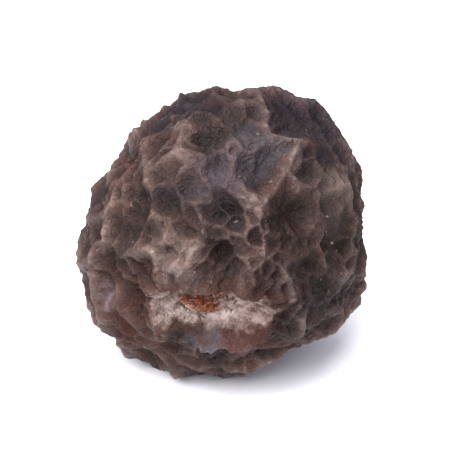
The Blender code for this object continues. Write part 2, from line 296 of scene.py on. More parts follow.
per_wrinkle = node(tree, MATHS, (1.0, given["Wrinkle Cell"]), operation="DIVIDE")
wrinkle_gap = node(tree, "ShaderNodeTexVoronoi", {"Vector": rumpled, "Scale": per_wrinkle}, "Distance",
                   feature="DISTANCE_TO_EDGE")
wrinkle = fold_profile(tree, wrinkle_gap, WRINKLE_WIDTH, WRINKLE_ROUNDING)
grain = node(tree, "ShaderNodeTexNoise", {"Vector": place, "Scale": 9.0, "Detail": 3.0}, "Fac")
grain = node(tree, MATHS, (grain, 0.5), operation="SUBTRACT")

# The deep pits sink to a hollow round their middle.
marked = node(tree, "GeometryNodeInputNamedAttribute", {"Name": "deep"}, "Attribute", data_type="BOOLEAN")
others = node(tree, "FunctionNodeBooleanMath", (marked,), operation="NOT")
deep_middles = node(tree, "GeometryNodeDeleteGeometry", {0: bent_nets, "Selection": others}, domain="POINT")
from_middle = node(tree, "GeometryNodeProximity", {0: deep_middles, "Sample Position": place}, "Distance",
                   target_element="POINTS")
hollow = bell(tree, from_middle, given["Deep Pit Reach"])

relief = node(tree, MATHS, (fold, given["Fold Height"]), operation="MULTIPLY")
hollow_depth = node(tree, MATHS, (hollow, given["Deep Pit Depth"]), operation="MULTIPLY")
relief = node(tree, MATHS, (relief, hollow_depth), operation="SUBTRACT")
for share, height in ((crease, "Crease Height"), (wrinkle, "Wrinkle Height"), (grain, "Grain Height")):
    relief = node(tree, MATHS, (share, given[height], relief), operation="MULTIPLY_ADD")

# The stalk scar. Its share is 1 on the scar's uneven edge, less inside and more outside.
scar_middle = direction(SCAR_AZIMUTH, SCAR_ELEVATION)
scar_sideways = Vector((0, 0, 1)).cross(scar_middle).normalized()
scar_upwards = scar_middle.cross(scar_sideways)
rag = wandering(tree, place, scale=1.8, seed=14.0, reach=0.35)
ragged = node(tree, VECTORS, (place, rag), operation="ADD")
across = node(tree, VECTORS, (ragged, scar_sideways), "Value", operation="DOT_PRODUCT")
across = node(tree, MATHS, (across, SCAR_HALF_WIDTH), operation="DIVIDE")
up = node(tree, VECTORS, (ragged, scar_upwards), "Value", operation="DOT_PRODUCT")
up = node(tree, MATHS, (up, SCAR_HALF_HEIGHT), operation="DIVIDE")
up_square = node(tree, MATHS, (up, up), operation="MULTIPLY")
oval = node(tree, MATHS, (across, across, up_square), operation="MULTIPLY_ADD")
oval = node(tree, MATHS, (oval,), operation="SQRT")
facing = node(tree, VECTORS, (place, scar_middle), "Value", operation="DOT_PRODUCT")
far_side = node(tree, MATHS, (facing, 0.0), operation="LESS_THAN")
scar = node(tree, MATHS, (far_side, FAR_SIDE, oval), operation="MULTIPLY_ADD")
outside_scar = node(tree, RANGE, (scar, 0.75, 1.15, 0.0, 1.0), interpolation_type="SMOOTHSTEP")
rim = bell(tree, node(tree, MATHS, (scar, SCAR_RIM_LINE), operation="SUBTRACT"), SCAR_RIM_WIDTH)
rim_rise = patchy(tree, place, scale=2.4, seed=31.0, lowest=0.6, highest=1.4, noise=(0.36, 0.64))
rim = node(tree, MATHS, (rim, rim_rise), operation="MULTIPLY")
floor_drop = node(tree, MATHS, (1.0, outside_scar), operation="SUBTRACT")
floor_drop = node(tree, MATHS, (floor_drop, -SCAR_DEPTH), operation="MULTIPLY")
relief = node(tree, MATHS, (relief, outside_scar, floor_drop), operation="MULTIPLY_ADD")
relief = node(tree, MATHS, (rim, SCAR_RIM, relief), operation="MULTIPLY_ADD")

# The skin is puckered into folds that run in to the scar, and torn fibres run from the low stump of the
# stalk, in a groove, over the scar's floor and walls.
way_out = node(tree, VECTORS, (node(tree, "ShaderNodeCombineXYZ", (across, up, 0.0)),), operation="NORMALIZE")
stray = wandering(tree, place, scale=2.2, seed=17.0, reach=0.40)
way_out = node(tree, VECTORS, (way_out, stray), operation="ADD")
pucker = node(tree, "ShaderNodeTexNoise", {"Vector": way_out, "Scale": 3.0, "Detail": 1.0}, "Fac")
pucker_gap = node(tree, MATHS, (pucker, 0.5), operation="SUBTRACT")
pucker_gap = node(tree, MATHS, (pucker_gap,), operation="ABSOLUTE")
pucker = fold_profile(tree, pucker_gap, PUCKER_WIDTH, PUCKER_ROUNDING)
near_rim = node(tree, RANGE, (scar, 0.70, 1.05, 0.0, 1.0), interpolation_type="SMOOTHSTEP")
fading = node(tree, RANGE, (scar, 1.3, 2.3, 1.0, 0.0), interpolation_type="SMOOTHSTEP")
near_rim = node(tree, MATHS, (near_rim, fading), operation="MULTIPLY")
pucker = node(tree, MATHS, (pucker, near_rim), operation="MULTIPLY")
relief = node(tree, MATHS, (pucker, given["Pucker Height"], relief), operation="MULTIPLY_ADD")
along = node(tree, VECTORS, (way_out, node(tree, "ShaderNodeCombineXYZ", (0.0, 0.0, oval))), operation="ADD")
streak = node(tree, "ShaderNodeTexNoise", {"Vector": along, "Scale": 5.0, "Detail": 5.0, "Roughness": 0.7})
inside = node(tree, RANGE, (scar, 0.85, 1.25, 1.0, 0.0), interpolation_type="SMOOTHSTEP")
ribs = node(tree, MATHS, (streak, 0.5), operation="SUBTRACT")
ribs = node(tree, MATHS, (ribs, inside), operation="MULTIPLY")
relief = node(tree, MATHS, (ribs, given["Fibre Height"], relief), operation="MULTIPLY_ADD")
left_of = node(tree, MATHS, (across, STUMP_SHIFT), operation="ADD")
from_stump = node(tree, MATHS, (left_of, left_of, up_square), operation="MULTIPLY_ADD")
from_stump = node(tree, MATHS, (from_stump,), operation="SQRT")
from_stump = node(tree, MATHS, (far_side, FAR_SIDE, from_stump), operation="MULTIPLY_ADD")
stump = bell(tree, from_stump, STUMP_REACH)
relief = node(tree, MATHS, (stump, given["Stump Height"], relief), operation="MULTIPLY_ADD")
groove = bell(tree, node(tree, MATHS, (from_stump, GROOVE_LINE), operation="SUBTRACT"), GROOVE_WIDTH)
groove = node(tree, MATHS, (groove, given["Groove Depth"]), operation="MULTIPLY")
relief = node(tree, MATHS, (relief, groove), operation="SUBTRACT")

# The nub, in a shallow moat.
nub_middle = direction(NUB_AZIMUTH, NUB_ELEVATION) * BALL_RADIUS
from_nub = node(tree, VECTORS, (node(tree, VECTORS, (place, nub_middle), operation="SUBTRACT"),), "Value",
                operation="LENGTH")
moat = bell(tree, from_nub, NUB_MOAT_RADIUS)
relief = node(tree, MATHS, (relief, node(tree, MATHS, (1.0, moat), operation="SUBTRACT")),
              operation="MULTIPLY")
relief = node(tree, MATHS, (moat, -NUB_MOAT_DEPTH, relief), operation="MULTIPLY_ADD")
relief = node(tree, MATHS, (bell(tree, from_nub, NUB_RADIUS), NUB_HEIGHT + NUB_MOAT_DEPTH, relief),
              operation="MULTIPLY_ADD")

# The broad humps and dents, and then every point goes out to its height.
unevenness = node(tree, "ShaderNodeTexNoise", {"Vector": outward, "W": 9.9, "Scale": 1.4, "Detail": 1.0},
                  "Fac", noise_dimensions="4D")
swell = node(tree, MATHS, (node(tree, MATHS, (unevenness, 0.5), operation="SUBTRACT"), BROAD_SWELL),
             operation="MULTIPLY")
lumps = node(tree, "ShaderNodeTexNoise", {"Vector": place, "W": 2.2, "Scale": 0.9, "Detail": 1.0},
             "Fac", noise_dimensions="4D")
swell = node(tree, MATHS, (node(tree, MATHS, (lumps, 0.5), operation="SUBTRACT"), NARROW_SWELL, swell),
             operation="MULTIPLY_ADD")
for azimuth, elevation, reach, height in SWELLS:
    apart = node(tree, VECTORS, (outward, direction(azimuth, elevation)), operation="SUBTRACT")
    hump = bell(tree, node(tree, VECTORS, (apart,), "Value", operation="LENGTH"), math.radians(reach))
    swell = node(tree, MATHS, (hump, height, swell), operation="MULTIPLY_ADD")
lift = node(tree, MATHS, (node(tree, MATHS, (relief, swell), operation="ADD"), given["Sink"]),
            operation="SUBTRACT")
body = node(tree, VECTORS, (outward, given["Half Widths"]), operation="MULTIPLY")
raised = node(tree, VECTORS, {0: outward, "Scale": lift}, operation="SCALE")
raised = node(tree, VECTORS, (node(tree, VECTORS, (body, raised), operation="ADD"), CENTRE), operation="ADD")
rested = node(tree, VECTORS, (raised, Vector(cad_box[0]) / MM), operation="MAXIMUM")
rested = node(tree, VECTORS, (rested, Vector(cad_box[1]) / MM), operation="MINIMUM")
skin = node(tree, "GeometryNodeSetPosition",
            {"Geometry": ball, "Position": node(tree, VECTORS, {0: rested, "Scale": MM}, operation="SCALE")})
for name, share in (("fold", fold), ("crease", crease), ("wrinkle", wrinkle), ("scar", scar),
                    ("scar up", up), ("stump", from_stump), ("streak", streak), ("nub", from_nub),
                    ("hollow", hollow)):
    skin = node(tree, "GeometryNodeStoreNamedAttribute", {"Geometry": skin, "Name": name, "Value": share},
                data_type="FLOAT", domain="POINT")
skin = node(tree, "GeometryNodeSetShadeSmooth", (skin,))
skin = node(tree, "GeometryNodeRealizeInstances", (skin,))
skin_material = bpy.data.materials.new("dried_pepper_skin")
skin = node(tree, "GeometryNodeSetMaterial", {"Geometry": skin, "Material": skin_material})
node(tree, "NodeGroupOutput", (skin,))


def wear_only(piece, material):
    """Gives every face of a piece one material, and drops the empty slots that its tree left."""
    piece.data.materials.clear()
    piece.data.materials.append(material)
    piece.data.polygons.foreach_set("material_index", [0] * len(piece.data.polygons))


nets = bmesh.new()
pit_middles = scattered(PIT_COUNT, PIT_TRIES, PIT_SEED)
add_net(nets, pit_middles, nets.edges.layers.bool.new("fold"))
add_net(nets, scattered(CREASE_COUNT, CREASE_TRIES, CREASE_SEED), nets.edges.layers.bool.new("crease"))
deep = [pit_middles[number] for number in DEEP_PITS]
for middle in pit_middles:
    if min((middle - other).length for other in deep) > DEEP_SPACING:
        deep.append(middle)
is_deep = nets.verts.layers.bool.new("deep")
for middle in deep:
    nets.verts.new(middle)[is_deep] = True
net_mesh = bpy.data.meshes.new("fold nets")
nets.to_mesh(net_mesh)
nets.free()
net_object = bpy.data.objects.new("fold_nets", net_mesh)
bpy.context.collection.objects.link(net_object)
folding = net_object.modifiers.new("berry skin", "NODES")
folding.node_group = tree
for title, value in FOLD_SIZES.items():
    folding[size_socket[title]] = value
evaluated = net_object.evaluated_get(bpy.context.evaluated_depsgraph_get())
berry = bpy.data.objects.new("peppercorn_skin", bpy.data.meshes.new_from_object(evaluated))
bpy.context.collection.objects.link(berry)
bpy.data.objects.remove(net_object)
wear_only(berry, skin_material)
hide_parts("peppercorn")
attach(berry, "root")


def in_millimetres(tree):
    """The place on a piece in millimetres, by which the patterns of its material are laid out."""
    return node(tree, VECTORS, {0: node(tree, "ShaderNodeTexCoord", (), "Object"), "Scale": 1 / MM},
                operation="SCALE")


# Dried pepper skin: the flesh of the berry, dried in the sun to a thin hard husk and never polished. Its
# worn fold tops are grey-brown with a faint waxy sheen and a painted highlight, its pits are dull and near
# black with painted shade, and patches of it lean to red or to grey.
skin_material.use_nodes = True
paint = skin_material.node_tree
shader = paint.nodes["Principled BSDF"]
fold_share, crease_share, wrinkle_share, hollow_share, nub_gap = (
    node(paint, "ShaderNodeAttribute", (), "Fac", attribute_name=name)
    for name in ("fold", "crease", "wrinkle", "hollow", "nub"))
scar_share, scar_up, from_stump, streak_share = (
    node(paint, "ShaderNodeAttribute", (), "Fac", attribute_name=name)
    for name in ("scar", "scar up", "stump", "streak"))
spot = in_millimetres(paint)

# How high a place stands among the folds, creases and wrinkles, mottled in patches of 0.3 mm and less,
# gives the brown of the skin: paler on the worn tops, and darker down in the pits as painted shade.
# Patterns are in millimetres here too.
high = node(paint, MATHS, (fold_share, 0.75), operation="POWER")
high = node(paint, MATHS, (high, 0.66, 0.02), operation="MULTIPLY_ADD")
high = node(paint, MATHS, (crease_share, 0.36, high), operation="MULTIPLY_ADD")
high = node(paint, MATHS, (wrinkle_share, 0.12, high), operation="MULTIPLY_ADD")
mottle = node(paint, "ShaderNodeTexNoise", {"Vector": spot, "Scale": 3.0, "Detail": 6.0, "Roughness": 0.68})
mottle = node(paint, MATHS, (mottle, 0.5), operation="SUBTRACT")
high = node(paint, MATHS, (mottle, 0.6, high), operation="MULTIPLY_ADD")
BROWN_AND_PAINTED_SHADE_STOPS = (0.04, "0c0503"), (0.30, "1c0f0a"), (0.60, "30201b"), (0.86, "4e3c35"), (1.00, "655149")
skin_colour = node(paint, "ShaderNodeValToRGB", (high,), "Color", BROWN_AND_PAINTED_SHADE_STOPS)

# Each layer below is a share and a colour, and lies over the ones before it.
# Painted shade on the floors of the pits, where the skin is darkest, and darkest of all in the deep pits.
painted_pit_shade = node(paint, RANGE, (high, 0.12, 0.36, 0.35, 0.0), interpolation_type="SMOOTHSTEP")
painted_deep_pit_shade = node(paint, RANGE, (hollow_share, 0.15, 0.85, 0.0, 0.72), interpolation_type="SMOOTHSTEP")
painted_pit_shade = node(paint, MATHS, (painted_pit_shade, painted_deep_pit_shade), operation="MAXIMUM")
layers = [(painted_pit_shade, linear("120803"))]

# Red and grey patches one to two millimetres across, each darker down in the pits as painted shade, as the
# brown is.
RED_STOPS = (0.05, "0e0502"), (0.40, "2a150e"), (0.80, "492d22"), (1.00, "614639")
GREY_STOPS = (0.05, "080607"), (0.40, "1d1719"), (0.80, "3e3838"), (1.00, "595453")
patch = node(paint, "ShaderNodeTexNoise", {"Vector": spot, "Scale": 0.75, "Detail": 3.0, "Roughness": 0.6})
red = node(paint, RANGE, (patch, 0.52, 0.68, 0.0, 0.55), interpolation_type="SMOOTHSTEP")
grey = node(paint, RANGE, (patch, 0.46, 0.32, 0.0, 0.45), interpolation_type="SMOOTHSTEP")
for share, stops in ((red, RED_STOPS), (grey, GREY_STOPS)):
    layers.append((share, node(paint, "ShaderNodeValToRGB", (high,), "Color", stops)))

# Dust and scuffs of 0.1 mm on the fold tops, which also stand in as a painted highlight along them, and pale
# flecks of 0.03 to 0.06 mm where it is chipped.
scuff = node(paint, "ShaderNodeTexNoise", {"Vector": spot, "Scale": 9.0, "Detail": 5.0, "Roughness": 0.75})
scuff = node(paint, MATHS, (scuff, 0.5), operation="SUBTRACT")
scuffed = node(paint, MATHS, (scuff, 1.7, high), operation="MULTIPLY_ADD")
dust_and_painted_highlight = node(paint, RANGE, (scuffed, 0.78, 1.25, 0.0, 0.55), interpolation_type="SMOOTHSTEP")
layers.append((dust_and_painted_highlight, linear("70655f")))
chip_edge = node(paint, "ShaderNodeTexNoise", {"Vector": spot, "Scale": 14.0, "Detail": 2.0}, "Color")
chip_edge = node(paint, VECTORS, {0: chip_edge, "Scale": 0.14}, operation="SCALE")
chip_edge = node(paint, VECTORS, (spot, chip_edge), operation="ADD")
fleck_gap = node(paint, "ShaderNodeTexVoronoi", {"Vector": chip_edge, "Scale": 3.4}, "Distance")
fleck_draw = node(paint, "ShaderNodeSeparateColor", (fleck_gap.node.outputs["Color"],), "Red")
fleck_size = node(paint, RANGE, (fleck_draw, 0.55, 1.0, 0.0, 0.19))
fleck = node(paint, MATHS, (fleck_gap, fleck_size), operation="LESS_THAN")
on_tops = node(paint, RANGE, (high, 0.45, 0.8, 0.0, 0.6))
fleck = node(paint, MATHS, (fleck, on_tops), operation="MULTIPLY")
layers.append((fleck, linear("82756b")))

# The nub's tip is bare and woody.
bare_tip = node(paint, MATHS, (bell(paint, nub_gap, 0.10), 0.5), operation="MULTIPLY")
layers.append((bare_tip, linear("6a5443")))

# The scar's edge is as torn as its streaks and its blotches of 0.2 mm, and lies in a dark reddish ring,
# partly stain and partly painted shade under the curled torn skin. Its bare fibre reaches out further at both
# ends, and stops short below.
blotch = node(paint, "ShaderNodeTexNoise", {"Vector": spot, "Scale": 4.5, "Detail": 3.0, "Roughness": 0.6})
blotch = node(paint, MATHS, (blotch, 0.5), operation="SUBTRACT")
streaked = node(paint, MATHS, (streak_share, 0.5), operation="SUBTRACT")
torn = node(paint, MATHS, (blotch, 0.5, scar_share), operation="MULTIPLY_ADD")
torn = node(paint, MATHS, (streaked, -0.25, torn), operation="MULTIPLY_ADD")
# A dark reddish ring outside the scar's edge: partly stain, partly painted shade under the torn rim.
stain_and_painted_rim_shade = node(paint, RANGE, (torn, 1.0, 1.6, 0.6, 0.0), interpolation_type="SMOOTHSTEP")
layers.append((stain_and_painted_rim_shade, linear("3a1f16")))
up_square = node(paint, MATHS, (scar_up, scar_up), operation="MULTIPLY")
scar_square = node(paint, MATHS, (scar_share, scar_share), operation="MULTIPLY")
across_square = node(paint, MATHS, (scar_square, up_square), operation="SUBTRACT")
wings = node(paint, MATHS, (across_square, 1.5), operation="MINIMUM")
wide = node(paint, MATHS, (wings, -0.13, torn), operation="MULTIPLY_ADD")
wide = node(paint, MATHS, (scar_up, 0.06, wide), operation="MULTIPLY_ADD")
below = node(paint, MATHS, (scar_up, 0.0), operation="MINIMUM")
wide = node(paint, MATHS, (below, -0.18, wide), operation="MULTIPLY_ADD")
bared = node(paint, RANGE, (wide, 0.80, 1.08, 1.0, 0.0), interpolation_type="SMOOTHSTEP")

# Its fibre is brown on the stump, and on the wall above it as painted shade, and pale and pinkish everywhere
# else.
BROWN_FIBRE_STOPS = (0.38, "2c150b"), (0.50, "693720"), (0.62, "945436")
PALE_FIBRE_STOPS = (0.36, "5c4941"), (0.45, "7b665d"), (0.54, "96827a"), (0.66, "a99890")
brown_fibre = node(paint, "ShaderNodeValToRGB", (streak_share,), "Color", BROWN_FIBRE_STOPS)
pale_fibre = node(paint, "ShaderNodeValToRGB", (streak_share,), "Color", PALE_FIBRE_STOPS)
off_stump = node(paint, MATHS, (blotch, 0.8, from_stump), operation="MULTIPLY_ADD")
off_stump = node(paint, MATHS, (streaked, 0.7, off_stump), operation="MULTIPLY_ADD")
off_stump = node(paint, RANGE, (off_stump, 0.24, 0.62, 0.0, 1.0), interpolation_type="SMOOTHSTEP")
on_lip = node(paint, MATHS, (across_square, -0.5, scar_up), operation="MULTIPLY_ADD")
# Painted shade: the wall above the stump keeps only a little of the pale fibre, the lower side all of it.
low = node(paint, RANGE, (on_lip, 0.50, 0.10, 0.15, 1.0), interpolation_type="SMOOTHSTEP")
pale = node(paint, MATHS, (off_stump, low), operation="MULTIPLY")
fibre_colour = node(paint, "ShaderNodeMix", {"Factor": pale, 6: brown_fibre, 7: pale_fibre}, 2,
                    data_type="RGBA")
layers.append((bared, fibre_colour))

# A painted highlight on the lip of the groove below the stump, where the torn fibre catches the light.
LIP_LINE, LIP_WIDTH = 0.66, 0.15
on_ring = node(paint, MATHS, (from_stump, LIP_LINE), operation="SUBTRACT")
on_ring = node(paint, MATHS, (blotch, 0.5, on_ring), operation="MULTIPLY_ADD")
under_stump = node(paint, RANGE, (scar_up, 0.0, -0.4, 0.0, 1.0), interpolation_type="SMOOTHSTEP")
painted_lip_highlight = node(paint, MATHS, (bell(paint, on_ring, LIP_WIDTH), under_stump), operation="MULTIPLY")
streaky = node(paint, RANGE, (streak_share, 0.40, 0.56, 0.3, 0.9))
painted_lip_highlight = node(paint, MATHS, (painted_lip_highlight, streaky), operation="MULTIPLY")
layers.append((painted_lip_highlight, linear("c4b1a6")))

# Soft round marks on the skin, as the photo shows them: some are stains, and others are painted light and
# shade, as marked. Azimuth, elevation and reach in degrees, colour, strength. Their edges wander with a
# bloom of half a millimetre.
STAINS_AND_PAINTED_LIGHT = (
    (-97, -25, 8, "54575c", 0.85),
    (-88, -24, 9, "4d2a23", 0.88),
    (-110, 14, 5, "8a766c", 0.25),
    (-137, -24, 17, "371709", 0.72),
    # Painted highlight: a small pale lavender spot low on the left.
    (-145, -14, 4, "786d6e", 0.40),
    # Painted shade in the dent low on the right.
    (-52, -11, 15, "150b02", 0.80),
    # Painted light on the right side, which the lamp leaves in shade.
    (-37, 32, 11, "66554e", 0.40),
    (-70, 58, 12, "44464c", 0.45),
    (-98, 46, 11, "49424a", 0.40),
    # Painted shade: these last four darken the outline at the top right, top left, left and right.
    (14, 52, 24, "12101c", 0.70),
    (167, 69, 21, "13101a", 0.60),
    (-169, 14, 15, "141118", 0.50),
    (2, 2, 16, "14121e", 0.52),
)
bloom = node(paint, "ShaderNodeTexNoise", {"Vector": spot, "Scale": 2.2, "Detail": 3.0, "Roughness": 0.6},
             "Color")
bloom = node(paint, VECTORS, (bloom, (0.5, 0.5, 0.5)), operation="SUBTRACT")
bloom = node(paint, VECTORS, {0: bloom, "Scale": 0.45}, operation="SCALE")
way_out = node(paint, VECTORS, (spot, CENTRE), operation="SUBTRACT")
way_out = node(paint, VECTORS, (way_out,), operation="NORMALIZE")
way_out = node(paint, VECTORS, (way_out, bloom), operation="ADD")
for azimuth, elevation, reach, colour, strength in STAINS_AND_PAINTED_LIGHT:
    apart = node(paint, VECTORS, (way_out, direction(azimuth, elevation)), "Value", operation="DISTANCE")
    stain_and_painted_light = node(paint, MATHS, (bell(paint, apart, math.radians(reach)), strength), operation="MULTIPLY")
    layers.append((stain_and_painted_light, linear(colour)))

for share, colour in layers:
    skin_colour = node(paint, "ShaderNodeMix", {"Factor": share, 6: skin_colour, 7: colour}, 2,
                       data_type="RGBA")
paint.links.new(skin_colour, shader.inputs["Base Color"])

# The worn tops have a faint sheen and the bare fibre is matt. The bump is the skin's own leathery grain,
# in cells of 0.12 mm, and dust-fine roughness drawn at 0.08 mm, which is coarser than it is, to show.
roughness = node(paint, RANGE, (scuffed, 0.0, 1.1, 0.66, 0.42))
roughness = node(paint, "ShaderNodeMix", {"Factor": bared, 2: roughness, 3: 0.85}, 0, data_type="FLOAT")
paint.links.new(roughness, shader.inputs["Roughness"])
shader.inputs["Specular IOR Level"].default_value = 0.17
grain_high = node(paint, "ShaderNodeTexNoise",
                  {"Vector": spot, "Scale": 12.0, "Detail": 4.0, "Roughness": 0.7})
shaken_spot = node(paint, "ShaderNodeTexNoise", {"Vector": spot, "Scale": 6.0, "Detail": 2.0}, "Color")
shaken_spot = node(paint, VECTORS, {0: shaken_spot, "Scale": 0.16}, operation="SCALE")
shaken_spot = node(paint, VECTORS, (spot, shaken_spot), operation="ADD")
leather_gap = node(paint, "ShaderNodeTexVoronoi", {"Vector": shaken_spot, "Scale": 8.5}, "Distance",
                   feature="DISTANCE_TO_EDGE")
leather = node(paint, RANGE, (leather_gap, 0.0, 0.22, 1.0, 0.0), interpolation_type="SMOOTHSTEP")
surface = node(paint, MATHS, (leather, 0.35, grain_high), operation="MULTIPLY_ADD")
bump = node(paint, "ShaderNodeBump", {"Strength": 0.9, "Distance": 0.042 * MM, "Height": surface})
paint.links.new(bump, shader.inputs["Normal"])

# Fibre stubs.
# Where the berry was rubbed off its spike, the fibres of the stalk tore unevenly. Their dry ends, like
# short bits of straw, stand out of the scar at all angles, each grown into the berry at its root.

FIBRE_SIZES = {
    "Fibres per Square Millimetre": 46.0,
    "Fibre Length": 0.19,
    "Fibre Radius": 0.017,
    "Seed": 5,
}
FIBRE_GROUND = (0.05, 0.92)        # where they root, as shares of the scar's half size
FIBRE_LEAN = 0.75                  # sideways, for 1 straight out of the skin
FIBRE_LEAST, FIBRE_MOST = (0.6, 0.6, 0.4), (1.5, 1.1, 1.3)   # shares of the thickness, twice, and length
FIBRE_TIP, FIBRE_SUNK = 0.35, 0.35   # radius at the tip, and length in the skin, as shares of the whole
FIBRE_SIDES, FIBRE_PIECES = 7, 4   # faces round it and along it
FIBRE_FRAY = 0.05                  # sideways move of its points
ON_SKIN = "GeometryNodeDistributePointsOnFaces"


def sown_tree(title, sizes):
    """An empty tree that takes the berry and named sizes, with the identifiers of its inputs."""
    sown = bpy.data.node_groups.new(title, "GeometryNodeTree")
    sown.is_modifier = True
    sown.interface.new_socket("Berry", in_out="INPUT", socket_type="NodeSocketGeometry")
    sown.interface.new_socket("Sown", in_out="OUTPUT", socket_type="NodeSocketGeometry")
    sockets = {}
    for name, value in sizes.items():
        kind = "NodeSocketInt" if isinstance(value, int) else "NodeSocketFloat"
        sockets[name] = sown.interface.new_socket(name, in_out="INPUT", socket_type=kind).identifier
    return sown, sockets, sown.nodes.new("NodeGroupInput").outputs


def sown_piece(name, sown, sockets, sizes, material):
    """Runs a tree on the berry's mesh, and keeps what it sowed as a piece of its own."""
    sower = bpy.data.objects.new("sower", berry.data)
    bpy.context.collection.objects.link(sower)
    sowing = sower.modifiers.new(name, "NODES")
    sowing.node_group = sown
    for title, value in sizes.items():
        sowing[sockets[title]] = value
    evaluated = sower.evaluated_get(bpy.context.evaluated_depsgraph_get())
    piece = bpy.data.objects.new(name, bpy.data.meshes.new_from_object(evaluated))
    bpy.context.collection.objects.link(piece)
    bpy.data.objects.remove(sower)
    wear_only(piece, material)
    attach(piece, "root")


def between(sown, attribute, low, high):
    """Whether an attribute of the berry's skin lies between two values."""
    value = node(sown, "GeometryNodeInputNamedAttribute", {"Name": attribute}, "Attribute", data_type="FLOAT")
    above = node(sown, "FunctionNodeCompare", (value, low), operation="GREATER_THAN")
    below = node(sown, "FunctionNodeCompare", (value, high), operation="LESS_THAN")
    return node(sown, "FunctionNodeBooleanMath", (above, below), operation="AND")


fibres, sockets, asked = sown_tree("stalk fibres", FIBRE_SIZES)
per_square_metre = node(fibres, MATHS, (asked["Fibres per Square Millimetre"], MM ** -2),
                        operation="MULTIPLY")
in_scar = between(fibres, "scar", *FIBRE_GROUND)
roots = node(fibres, ON_SKIN, {"Mesh": asked["Berry"], "Selection": in_scar,
                               "Density": per_square_metre, "Seed": asked["Seed"]})
off_skin = roots.node.outputs["Normal"]
lean = node(fibres, "FunctionNodeRandomValue", {0: (-1.0, -1.0, -1.0), 1: (1.0, 1.0, 1.0), "Seed": 31},
            data_type="FLOAT_VECTOR")
lean = node(fibres, VECTORS, {0: lean, "Scale": FIBRE_LEAN}, operation="SCALE")
lean = node(fibres, VECTORS, (off_skin, lean), operation="ADD")
turn = node(fibres, "FunctionNodeAlignRotationToVector", {"Vector": lean}, axis="Z")
length = node(fibres, MATHS, (asked["Fibre Length"], MM), operation="MULTIPLY")
radius = node(fibres, MATHS, (asked["Fibre Radius"], MM), operation="MULTIPLY")
tip_radius = node(fibres, MATHS, (radius, FIBRE_TIP), operation="MULTIPLY")
stub = node(fibres, "GeometryNodeMeshCone",
            {"Vertices": FIBRE_SIDES, "Side Segments": FIBRE_PIECES,
             "Radius Top": tip_radius, "Radius Bottom": radius, "Depth": length})
sunk = node(fibres, MATHS, (length, -FIBRE_SUNK), operation="MULTIPLY")
sunk = node(fibres, "ShaderNodeCombineXYZ", (0.0, 0.0, sunk))
stub = node(fibres, "GeometryNodeTransform", {"Geometry": stub, "Translation": sunk})
stretch = node(fibres, "FunctionNodeRandomValue", {0: FIBRE_LEAST, 1: FIBRE_MOST, "Seed": 7},
               data_type="FLOAT_VECTOR")
stubs = node(fibres, "GeometryNodeInstanceOnPoints",
             {"Points": roots, "Instance": stub, "Rotation": turn, "Scale": stretch})
stubs = node(fibres, "GeometryNodeRealizeInstances", (stubs,))
frayed = node(fibres, "ShaderNodeTexNoise", {"Scale": 9.0 / MM, "Detail": 2.0}, "Color")
frayed = node(fibres, VECTORS, (frayed, (0.5, 0.5, 0.5)), operation="SUBTRACT")
frayed = node(fibres, VECTORS, {0: frayed, "Scale": FIBRE_FRAY * MM}, operation="SCALE")
stubs = node(fibres, "GeometryNodeSetPosition", {"Geometry": stubs, "Offset": frayed})
stubs = node(fibres, "GeometryNodeSetShadeSmooth", (stubs,))
straw = bpy.data.materials.new("torn_stalk_fibre")
stubs = node(fibres, "GeometryNodeSetMaterial", {"Geometry": stubs, "Material": straw})
node(fibres, "NodeGroupOutput", (stubs,))
sown_piece("stalk_fibres", fibres, sockets, FIBRE_SIZES, straw)

# Torn stalk fibre: bare dry plant fibre, matt and straw pale, greyed and browned in patches of 0.2 mm by
# handling. Its hair is drawn 0.05 mm across, coarser than it is, so that it shows.
straw.use_nodes = True
stalk = straw.node_tree
fibre_spot = in_millimetres(stalk)
tone = node(stalk, "ShaderNodeTexNoise",
            {"Vector": fibre_spot, "Scale": 5.0, "Detail": 4.0, "Roughness": 0.7})
STRAW_STOPS = (0.34, "38251c"), (0.46, "5f463b"), (0.56, "826d61"), (0.68, "9c897d")
tone = node(stalk, "ShaderNodeValToRGB", (tone,), "Color", STRAW_STOPS)
stalk_shader = stalk.nodes["Principled BSDF"].inputs
stalk.links.new(tone, stalk_shader["Base Color"])
stalk_shader["Roughness"].default_value = 0.8
stalk_shader["Specular IOR Level"].default_value = 0.3
hair = node(stalk, "ShaderNodeTexNoise", {"Vector": fibre_spot, "Scale": 22.0, "Detail": 3.0})
hair = node(stalk, "ShaderNodeBump", {"Strength": 0.6, "Distance": 0.01 * MM, "Height": hair})
stalk.links.new(hair, stalk_shader["Normal"])

# Husk crumbs.
# Peppercorns rub against each other in the sack, and crumbs of the same dried skin cling to them, mostly
# in the pits and along the folds' feet, where they stay put. Each is stuck half into the skin.

CRUMB_SIZES = {
    "Crumbs per Square Millimetre": 3.2,
    "Crumb Radius": 0.024,
    "Seed": 12,
}
CRUMB_LEAST, CRUMB_MOST = (0.35, 0.35, 0.3), (1.9, 1.3, 0.9)   # shares of its radius, three ways
CRUMB_CHIP = 0.035                 # sideways move of its points
CRUMBS_ON_FOLDS = 0.3              # how many lie on the fold tops, as a share of those in the pits
CLEAR_OF_BOX, CLEAR_OF_TABLE = 0.1, 0.35   # gaps that crumbs keep from the CAD box and from the table
CRUMB_GROUND = (1.2, 99.0)         # everywhere past the scar's rim, as shares of the scar's half size
FULL_TURN = 6.3                    # in radians

